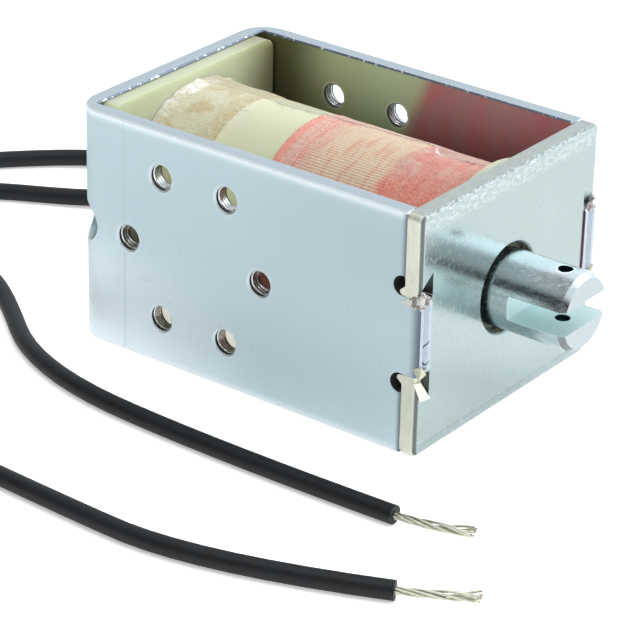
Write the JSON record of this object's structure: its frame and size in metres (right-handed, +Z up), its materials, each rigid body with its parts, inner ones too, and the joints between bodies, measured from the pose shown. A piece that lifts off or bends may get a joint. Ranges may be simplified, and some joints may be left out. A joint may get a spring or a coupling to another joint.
{
  "type": "solenoid",
  "caption": "Open-frame pull solenoid with a sliding clevis plunger, wound coil, tapped side walls and two stripped leads.",
  "frame": {"origin": "under the middle of the solenoid with the plunger seated, on the plane that the frame's lower edges stand on; the leads are left out of that middle", "axes": "+X along the plunger, out of the frame; +Z up, across the frame's open sides; the tapped side walls face -Y and +Y"},
  "size_m": [0.1697, 0.1063, 0.04],
  "materials": {
    "zinc_steel": "bright zinc plate",
    "core_steel": "zinc plate on turned steel",
    "tube_brass": "drawn",
    "bobbin_nylon": "natural nylon",
    "magnet_wire": "red enamel",
    "glass_tape": "woven glass cloth",
    "insulation_film": "satin",
    "sleeving": "varnished braid",
    "lead_insulation": "matte",
    "tinned_copper": "tinned"
  },
  "bodies": {
    "frame": {"frame_channel": "zinc_steel", "front_plate": "zinc_steel", "pole_piece": "core_steel", "guide_tube": "tube_brass", "bobbin": "bobbin_nylon", "coil_winding": "magnet_wire", "coil_tape_rear": "glass_tape", "insulation_band": "insulation_film", "coil_tape_front": "glass_tape", "splice_sleeves": "sleeving", "lead_outer": "lead_insulation", "lead_inner": "lead_insulation", "lead_outer_strands": "tinned_copper", "lead_inner_strands": "tinned_copper"},
    "plunger": {"plunger": "core_steel"}
  },
  "joints": [
    {"name": "plunger_slide", "type": "slide", "parent": "frame", "child": "plunger", "axis": [1, 0, 0], "range_m": [0, 0.025]}
  ]
}
